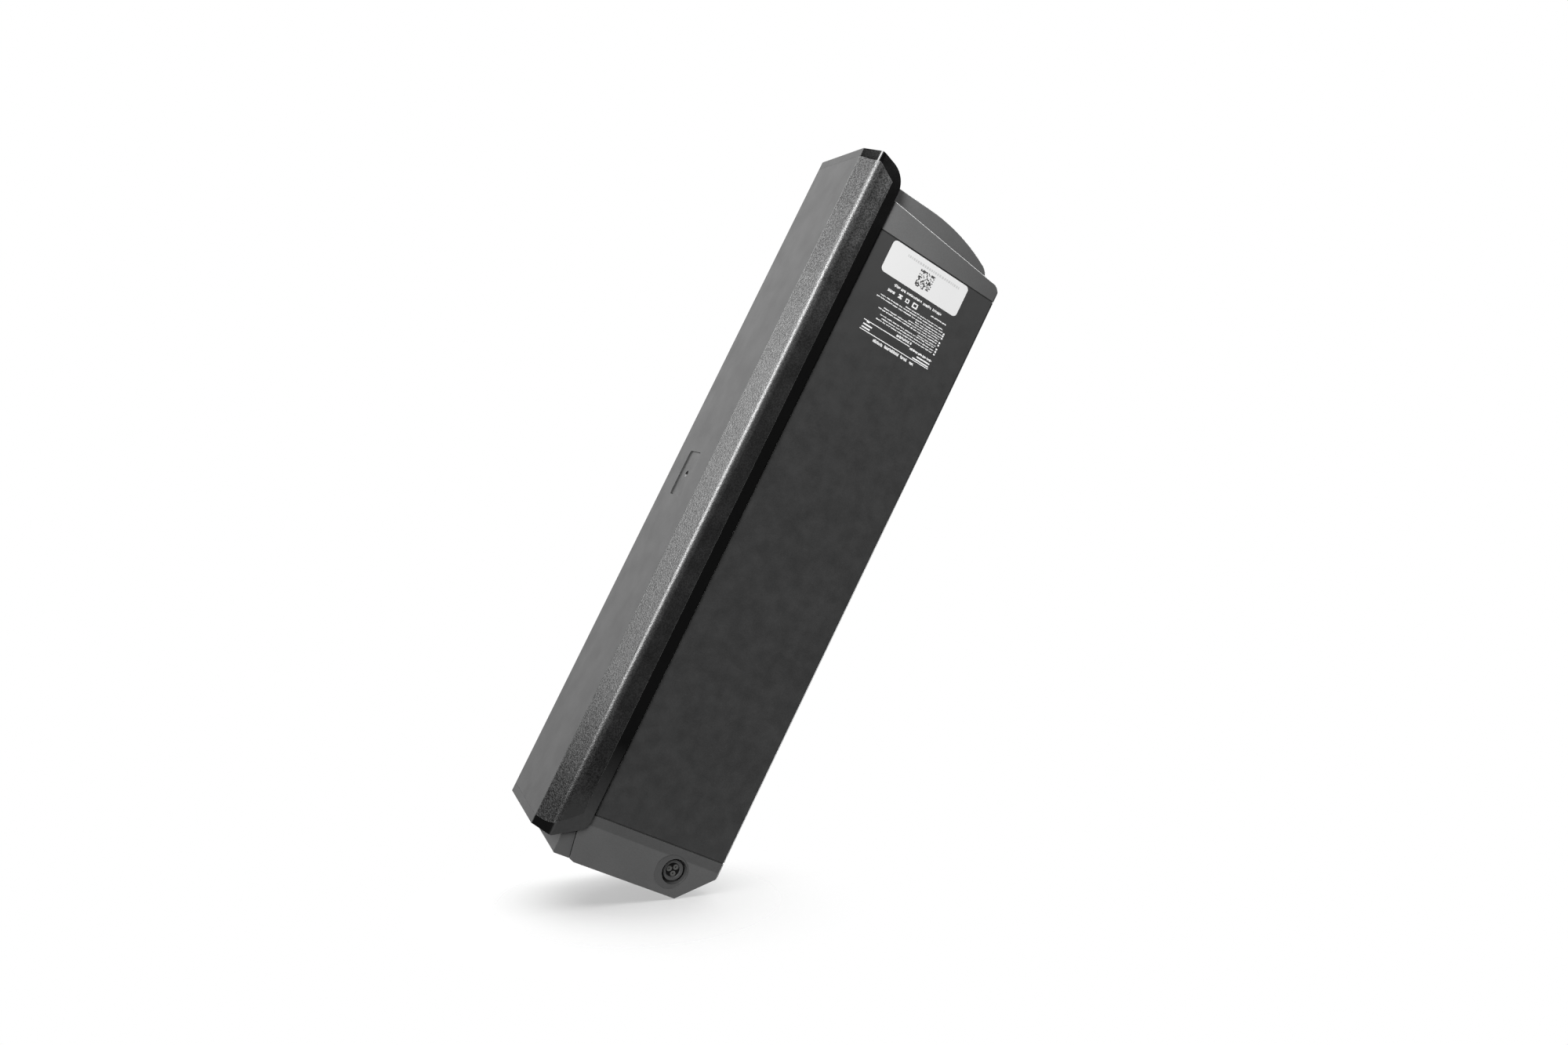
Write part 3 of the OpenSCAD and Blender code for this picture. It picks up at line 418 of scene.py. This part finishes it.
def make_materials():
    # Painted shade on the connector cap's strip beside its seam.
    dress(cap_material("connector_cap_moulded", 0.066, painted_band_shade=0.3), "connector_end_cap")
    dress(cap_material("latch_block_moulded", 0.060), "latch_block")
    # Painted light on the nose cap: lighter towards the cover, darker towards the back, with a painted
    # highlight on the skirt's outer edge.
    dress(cap_material("nose_cap_moulded", 0.075, painted_light_slope=0.3, line=True), "nose_end_cap")
    dress(surface("anodised_sleeve", grey(0.020, TINT), 0.42, grain=900, depth=0.02, wear=0.1,
                  wear_colour=grey(0.3), blotch=0.06, blotch_scale=40, specular=0.6, polished=True),
          "case_sleeve")
    dress(base_material(), "cover_base")
    dress(skin_material(), "cover_skin")
    dress(surface("panel_satin", grey(0.035, TINT), 0.38, grain=1500, depth=0.01, wear=0.3, blotch=0.05),
          "indicator_panel")
    dress(button_material(), "state_button")
    dress(surface("soft_black", grey(0.012), 0.75, grain=1200, depth=0.04, blotch=0.2, wear=0.0),
          "connector_gasket", "nose_gasket", "cover_gasket", "charge_socket_seal", "foam_pads")
    dress(surface("socket_shell_moulded", grey(0.05, TINT), 0.40, grain=1500, depth=0.02, wear=0.4,
                  blotch=0.08, edge=0.25 * MM), "charge_socket_shell")
    dress(surface("socket_insert_black", grey(0.004), 0.5, grain=1800, depth=0.01, wear=0.0, blotch=0.1,
                  specular=0.12),
          "charge_socket_insert", "discharge_connector_body")
    plated = surface("plated_contact", (0.075, 0.075, 0.073, 1), 0.5, metal=0.2, grain=1500, depth=0.01,
                     wear=0.2, blotch=0.08)
    dress(plated, "charge_socket_contacts", "discharge_power_blades", "discharge_signal_pins")
    steel = surface("zinc_steel", (0.42, 0.43, 0.45, 1), 0.36, metal=1.0, grain=700, depth=0.02,
                    wear=0.3, blotch=0.12, edge=0.2 * MM)
    dress(steel, "charge_socket_nut", "lock_bush", "discharge_connector_screws", "latch_block_screws",
          "connector_cap_screws", "nose_cap_screws", "button_dome")
    dress(surface("label_film", grey(0.58), 0.5, grain=1600, depth=0.01, blotch=0.015, wear=0.0),
          "identity_label")
    dress(surface("print_ink", grey(0.72), 0.6, grain=2200, depth=0.02, blotch=0.15, wear=0.0),
          "rating_print")
    wrap = surface("cell_wrap", (0.05, 0.20, 0.42, 1), 0.3, grain=300, depth=0.01, blotch=0.08, coat=0.3)
    dress(wrap, *[n for n in NODES if n.startswith("cell_group_")])
    dress(surface("holder_moulded", grey(0.03), 0.5, grain=1200, depth=0.02), "cell_holder_left",
          "cell_holder_right")
    dress(surface("nickel_strip", (0.50, 0.49, 0.45, 1), 0.3, metal=1.0, grain=900, depth=0.01,
                  stretch=(0.1, 1, 1)), "nickel_strips_left", "nickel_strips_right")
    dress(surface("pressed_board", (0.50, 0.40, 0.22, 1), 0.75, grain=500, depth=0.03, blotch=0.2),
          "insulation_sheets")
    dress(surface("circuit_lacquer", (0.02, 0.14, 0.06, 1), 0.3, grain=400, depth=0.01, coat=0.4),
          "bms_board", "indicator_board")
    dress(surface("chip_moulded", grey(0.014), 0.55, grain=1500, depth=0.02), "bms_mosfets")
    dress(surface("milled_aluminium", (0.64, 0.65, 0.67, 1), 0.35, metal=1.0, grain=900, depth=0.02,
                  stretch=(1, 0.05, 1)), "bms_heatsink")
    dress(surface("tinned_block", (0.60, 0.59, 0.54, 1), 0.35, metal=1.0, grain=900, depth=0.02),
          "bms_terminals")
    dress(surface("fuse_lacquer", (0.42, 0.17, 0.05, 1), 0.35, grain=600, depth=0.01, coat=0.3), "pack_fuse")
    dress(surface("led_lens", (0.78, 0.80, 0.66, 1), 0.25, grain=900, depth=0.01), "indicator_leds")
    dress(surface("guide_clear", (0.70, 0.74, 0.78, 1), 0.15, grain=900, depth=0.004), "light_guide")
    dress(surface("silicone_jacket", grey(0.022), 0.5, grain=900, depth=0.02), "negative_strap",
          "charge_leads", "discharge_leads")
    dress(surface("ribbon_jacket", (0.45, 0.06, 0.04, 1), 0.5, grain=700, depth=0.02,
                  stretch=(0.1, 1, 1)), "balance_ribbon", "indicator_ribbon")


# ---- Finer edges on the CAD nodes: modifiers only ----

SOFT_EDGES = {"connector_end_cap": 0.35 * MM, "nose_end_cap": 0.45 * MM, "latch_block": 0.3 * MM,
              "case_sleeve": 0.2 * MM, "cover_skin": 0.25 * MM, "cover_base": 0.25 * MM,
              "indicator_panel": 0.15 * MM, "charge_socket_shell": 0.15 * MM}


WELD_WITHIN = 1e-6          # metres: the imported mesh's triangles share corners to less than this
BEVEL_SEGMENTS = 2
BEVEL_FROM = math.radians(35)


def soften(name, width):
    """Rounds the sharp edges of a node by a bevel this wide."""
    o = NODES[name]
    weld = o.modifiers.new("weld", "WELD")
    weld.merge_threshold = WELD_WITHIN
    bevel = o.modifiers.new("edge", "BEVEL")
    bevel.width = width
    bevel.segments = BEVEL_SEGMENTS
    bevel.limit_method = "ANGLE"
    bevel.angle_limit = BEVEL_FROM
    bevel.harden_normals = True
    bevel.use_clamp_overlap = True
    normals = o.modifiers.new("normals", "WEIGHTED_NORMAL")
    normals.keep_sharp = True


# ---- Floor, world and lights ----

DARK_SIDE = 0.045           # what the pack reflects from the camera's side of the studio
BRIGHT_SIDE = 1.5           # and from the pale wall behind, below and past the nose end
WALL = (0.5, 1.0, -0.3)     # how bright a direction is: its dot product with this
WALL_FROM, WALL_TO = 0.25, 1.0


def make_world():
    world = bpy.data.worlds.new("studio")
    bpy.context.scene.world = world
    world.use_nodes = True
    nt = world.node_tree
    nt.nodes.clear()
    out = nt.nodes.new("ShaderNodeOutputWorld")
    # The camera sees plain white, and the pack reflects the studio.
    seen, lit = nt.nodes.new("ShaderNodeBackground"), nt.nodes.new("ShaderNodeBackground")
    seen.inputs["Color"].default_value = lit.inputs["Color"].default_value = (1, 1, 1, 1)
    coords, dot = nt.nodes.new("ShaderNodeTexCoord"), nt.nodes.new("ShaderNodeVectorMath")
    dot.operation = "DOT_PRODUCT"
    dot.inputs[1].default_value = WALL
    nt.links.new(coords.outputs["Generated"], dot.inputs[0])
    wall = nt.nodes.new("ShaderNodeMapRange")
    for key, v in (("From Min", WALL_FROM), ("From Max", WALL_TO), ("To Min", DARK_SIDE),
                   ("To Max", BRIGHT_SIDE)):
        wall.inputs[key].default_value = v
    nt.links.new(dot.outputs["Value"], wall.inputs["Value"])
    nt.links.new(wall.outputs["Result"], lit.inputs["Strength"])
    path, mix = nt.nodes.new("ShaderNodeLightPath"), nt.nodes.new("ShaderNodeMixShader")
    nt.links.new(path.outputs["Is Camera Ray"], mix.inputs["Fac"])
    nt.links.new(lit.outputs[0], mix.inputs[1])
    nt.links.new(seen.outputs[0], mix.inputs[2])
    nt.links.new(mix.outputs[0], out.inputs["Surface"])
    bpy.context.scene.view_settings.view_transform = "Standard"


# Each light is a rectangle that faces the pack's centre: the two ends of its long middle line
# (metres from that centre), its height and its radiance.
LIGHTS = [("overhead", (0.10, 0.55, 1.45), (1.30, 0.55, 1.45), 0.80, 2.0),
          ("edge_strip", (-0.27, -1.20, 1.02), (1.05, -0.80, 1.36), 0.55, 19.0),
          ("nose_glow", (0.95, -1.50, -0.55), (1.35, -1.34, -0.55), 0.45, 9.0),
          ("underneath", (-1.00, -0.22, -1.30), (0.20, -0.22, -1.30), 0.5, 11.0),
          ("tail_glow", (-1.30, -0.75, 0.55), (-1.50, 0.25, 0.75), 0.6, 4.0)]


def area_light(name, middle, a, b, height, radiance, receivers):
    """A rectangle whose long middle line runs from a to b, facing the point called middle."""
    a, b = Vector(a), Vector(b)
    along, away = (b - a).normalized(), (a + b) / 2
    away = (away - away.dot(along) * along).normalized()
    data = bpy.data.lights.new(name, "AREA")
    data.shape = "RECTANGLE"
    data.size, data.size_y = (b - a).length, height
    data.energy = radiance * (b - a).length * height * math.pi
    o = bpy.data.objects.new(name, data)
    o.matrix_world = axes_matrix(along, away.cross(along), away, middle + (a + b) / 2)
    o.visible_camera = False
    bpy.context.scene.collection.objects.link(o)
    o.light_linking.receiver_collection = receivers


def collection(name, objects):
    c = bpy.data.collections.new(name)
    for o in objects:
        c.objects.link(o)
    return c


def lowest_corner(up):
    """The lowest point of the pack, seen along the photograph's upright."""
    cap = NODES["connector_end_cap"].data
    return min((v.co.copy() for v in cap.vertices), key=lambda p: p.dot(up))


FLOOR_RADIUS = 0.15
FLOOR_RINGS, FLOOR_STEPS = 24, 96
FLOOR_STRENGTH = 0.55       # how solid the floor is near its middle
FLOOR_SHIFT = 0.022         # its middle lies this far to the left of the foot
FLOOR_LIGHT_HEIGHT, FLOOR_LIGHT_SIZE, FLOOR_LIGHT_RADIANCE = 0.9, 1.1, 3.1


def make_floor():
    """A pale floor under the lowest corner. It fades out, and from below it isn't seen."""
    up = Vector(CAMERA_UP).normalized()
    foot = lowest_corner(up)
    rings, steps = FLOOR_RINGS, FLOOR_STEPS
    verts, faces = [(0, 0, 0)], []
    for r in range(1, rings + 1):
        for s in range(steps):
            a, d = 2 * math.pi * s / steps, FLOOR_RADIUS * r / rings
            verts.append((d * math.cos(a), d * math.sin(a), 0))
    for s in range(steps):
        faces.append((0, 1 + s, 1 + (s + 1) % steps))
        for r in range(rings - 1):
            a, b = 1 + r * steps + s, 1 + r * steps + (s + 1) % steps
            faces.append((a, a + steps, b + steps, b))
    mesh = bpy.data.meshes.new("floor")
    mesh.from_pydata(verts, [], faces)
    floor = bpy.data.objects.new("floor", mesh)
    bpy.context.scene.collection.objects.link(floor)
    side = Vector(CAMERA_RIGHT).normalized()
    floor.matrix_world = axes_matrix(side, up.cross(side), up,
                                     foot - up * 0.3 * MM - side * FLOOR_SHIFT)
    t = Tree("pale_floor")
    speck = t.ramp(t.noise(220.0, 3.0), 0.3, 0.7, 0.985, 1.0)
    t.link(t.scaled(grey(0.92), speck), t.bsdf.inputs["Base Color"])
    t.bsdf.inputs["Roughness"].default_value = 0.9
    t.bsdf.inputs["Specular IOR Level"].default_value = 0.2
    length = t.add("ShaderNodeVectorMath", operation="LENGTH")
    t.link(t.coords, length.inputs[0])
    fade = t.ramp(length.outputs["Value"], 0.2 * FLOOR_RADIUS, 0.95 * FLOOR_RADIUS,
                  FLOOR_STRENGTH, 0.0)
    front = t.rest(t.add("ShaderNodeNewGeometry").outputs["Backfacing"])
    clear, mix = t.add("ShaderNodeBsdfTransparent"), t.add("ShaderNodeMixShader")
    t.link(t.product(fade, front), mix.inputs["Fac"])
    t.link(clear.outputs[0], mix.inputs[1])
    t.link(t.bsdf.outputs[0], mix.inputs[2])
    t.link(mix.outputs[0], t.out.inputs["Surface"])
    mesh.materials.append(t.mat)
    floor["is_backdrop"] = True
    floor.visible_diffuse = False
    above, half = up * FLOOR_LIGHT_HEIGHT, side * (FLOOR_LIGHT_SIZE / 2)
    area_light("above_floor", foot, above - half, above + half, FLOOR_LIGHT_SIZE,
               FLOOR_LIGHT_RADIANCE, collection("ground", [floor]))


# ---- Pieces that only the looks need ----

def add_boxes(bm, boxes):
    """Closed thin boxes, each (low corner, high corner)."""
    for low, high in boxes:
        v = [bm.verts.new((x, y, z)) for x in (low[0], high[0]) for y in (low[1], high[1])
             for z in (low[2], high[2])]
        for f in ((0, 1, 3, 2), (4, 6, 7, 5), (0, 4, 5, 1), (2, 3, 7, 6), (0, 2, 6, 4), (1, 5, 7, 3)):
            bm.faces.new([v[k] for k in f])


def piece(name, bm, mat):
    """A printed piece: it rides on the pack and takes the finish it is given."""
    bmesh.ops.recalc_face_normals(bm, faces=bm.faces)
    mesh = bpy.data.meshes.new(name)
    bm.to_mesh(mesh)
    bm.free()
    mesh.materials.append(mat)
    o = bpy.data.objects.new(name, mesh)
    bpy.context.scene.collection.objects.link(o)
    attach(o, "pack")
    return o


# The printed block, as plain marks. Each row is a line of marks: its distance along the pack from
# the connector seam, where it starts and ends below the case's top, its height (all in
# millimetres), and its kind.
#            along  start  end   height  kind
PRINT = [(374.5, 24.8, 29.6, 1.9, "bold"), (374.5, 30.4, 33.8, 1.9, "bold"),
         (374.5, 35.0, 46.9, 1.5, "bold"), (374.3, 48.5, 54.8, 1.7, "bold"),
         (374.3, 56.3, 63.4, 1.7, "bold"),
         (370.0, 22.2, 27.8, 2.0, "bold"), (370.0, 30.5, 33.5, 2.6, "mark"),
         (370.0, 36.3, 39.0, 2.6, "ring"), (370.0, 41.9, 45.9, 3.4, "ring"),
         (370.3, 57.0, 69.4, 0.85, "line"),
         (366.5, 38.3, 69.3, 0.75, "line"), (364.8, 19.1, 69.7, 0.75, "line"),
         (363.0, 17.0, 69.9, 0.8, "line"), (361.3, 48.8, 69.8, 0.75, "line"),
         (359.9, 44.2, 69.5, 0.7, "line"), (358.3, 25.2, 69.4, 0.75, "line"),
         (356.7, 21.6, 69.2, 0.8, "line"), (354.9, 54.4, 69.4, 0.7, "line"),
         (353.5, 24.8, 69.2, 0.75, "line"), (351.7, 27.0, 69.4, 0.75, "line"),
         (350.0, 23.3, 69.0, 0.8, "line"),
         (347.8, 41.3, 51.2, 1.7, "bold"), (347.9, 52.0, 53.4, 1.3, "mark"),
         (345.8, 16.3, 52.9, 0.55, "rule"), (345.0, 53.5, 71.4, 1.5, "line"),
         (342.6, 60.5, 71.0, 0.9, "rule"), (340.7, 57.9, 70.9, 0.85, "rule"),
         (343.1, 17.0, 23.9, 0.95, "rule"), (341.1, 16.9, 23.1, 0.9, "rule"),
         (345.2, 18.7, 20.9, 0.9, "rule"), (339.5, 16.1, 71.4, 0.5, "rule"),
         (337.1, 28.1, 35.4, 2.0, "bold"), (337.3, 37.1, 48.5, 2.0, "bold"),
         (337.2, 50.0, 55.1, 2.0, "bold"), (337.0, 57.4, 60.7, 1.9, "bold")]
# A column of small squares at the rows' ends: how far along, how far below, and half their size
DOTS = [364.4, 362.9, 361.3, 358.1, 356.3, 353.5, 351.7, 349.8]
DOTS_BELOW = 70.9
DOT_LONG, DOT_DEEP = 0.55, 0.6
INK_OUT, INK_IN = 0.06 * MM, 0.01 * MM          # the print's two faces, outside the case's side


def mark_boxes(x, z0, z1, height, kind, dice):
    """Spans (x0, x1, z0, z1) in millimetres for one mark: plain blocks with gaps, never letters."""
    half = height / 2
    if kind == "rule":
        return [(x - half, x + half, z0, z1)]
    if kind == "mark":
        arm = (z1 - z0) * 0.22
        return [(x - half, x - half * 0.35, z0, z1), (x + half * 0.35, x + half, z0, z1),
                (x - half * 0.35, x + half * 0.35, (z0 + z1) / 2 - arm, (z0 + z1) / 2 + arm)]
    if kind == "ring":
        w = height * 0.24
        return [(x - half, x + half, z0, z0 + w), (x - half, x + half, z1 - w, z1),
                (x - half, x - half + w, z0 + w, z1 - w), (x + half - w, x + half, z0 + w, z1 - w)]
    # Words of short strokes. A line's words are longer and its strokes closer together.
    bold = kind == "bold"
    spans, z = [], z0
    while z < z1 - 0.3:
        stop = min(z1, z + (60 if bold else dice.uniform(2.0, 6.5)))
        while z < stop - 0.1:
            end = min(stop, z + (dice.uniform(0.35, 0.7) if bold else dice.uniform(0.4, 0.8)))
            drop, rise = half * dice.choice((0, 0, 0.5)), half * dice.choice((0, 0.4, 0.4))
            spans.append((x - half + drop, x + half - rise, z, end))
            if bold and dice.random() < 0.6:
                spans.append((x - half, x - half * 0.5, end, end + 0.25))
            z = end + (0.25 if bold else 0.12)
        z += 0.45
    return spans


def make_print():
    dice = random.Random(11)
    bm = bmesh.new()
    y0, y1 = SIDE_Y - INK_OUT, SIDE_Y - INK_IN
    spans = [s for row in PRINT for s in mark_boxes(*row, dice)]
    spans += [(x - DOT_LONG, x + DOT_LONG, DOTS_BELOW - DOT_DEEP, DOTS_BELOW + DOT_DEEP) for x in DOTS]
    add_boxes(bm, [((SEAM_X + a * MM, y0, CASE_TOP - d * MM), (SEAM_X + b * MM, y1, CASE_TOP - c * MM))
                   for a, b, c, d in spans])
    ink = surface("printed_marks", grey(0.66), 0.55, grain=2600, depth=0.02, blotch=0.12,
                  blotch_scale=300, wear=0.0)
    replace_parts(piece("printed_marks", bm, ink), "rating_print")


LABEL_INK_OUT, LABEL_INK_IN = 0.02 * MM, 0.001 * MM
CELL_COUNT, CELL, CELLS_DARK = 15, 0.76 * MM, 0.47      # cells a side, a cell's side, share of dark
CELLS_ALONG, CELLS_BELOW = 381.4 * MM, 48.2 * MM        # the square's low corner
DASHES_ALONG, DASH_HALF = 395.3 * MM, 0.8 * MM
DASHES_FROM, DASHES_TO, DASH_GAP = 24.5, 66, 0.6        # mm below the case's top


def make_label_print():
    """A square of random cells and a faint row of dashes on the white label. They say nothing."""
    front = corners("identity_label")[0].y
    y0, y1 = front - LABEL_INK_OUT, front - LABEL_INK_IN
    dice = random.Random(5)
    x0, z0 = SEAM_X + CELLS_ALONG, CASE_TOP - CELLS_BELOW
    dark = []
    for i in range(CELL_COUNT):
        for k in range(CELL_COUNT):
            if dice.random() < CELLS_DARK:
                dark.append(((x0 + i * CELL, y0, z0 + k * CELL),
                             (x0 + (i + 1) * CELL, y1, z0 + (k + 1) * CELL)))
    bm = bmesh.new()
    add_boxes(bm, dark)
    piece("label_cells", bm, surface("label_ink", grey(0.035), 0.6, grain=2600, depth=0.02, wear=0.0))
    bm = bmesh.new()
    faint, x, z = [], SEAM_X + DASHES_ALONG, DASHES_FROM
    while z < DASHES_TO:
        w = dice.uniform(0.7, 1.5)
        faint.append(((x - DASH_HALF, y0, CASE_TOP - (z + w) * MM), (x + DASH_HALF, y1, CASE_TOP - z * MM)))
        z += w + DASH_GAP
    add_boxes(bm, faint)
    piece("label_dashes", bm, surface("faded_ink", grey(0.45), 0.6, grain=2600, depth=0.02, wear=0.0))


make_camera()
make_world()
make_floor()
make_materials()
make_print()
make_label_print()
for name, width in SOFT_EDGES.items():
    soften(name, width)
studio = collection("lit_by_studio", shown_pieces())
for row in LIGHTS:
    area_light(row[0], CENTRE, *row[1:], studio)
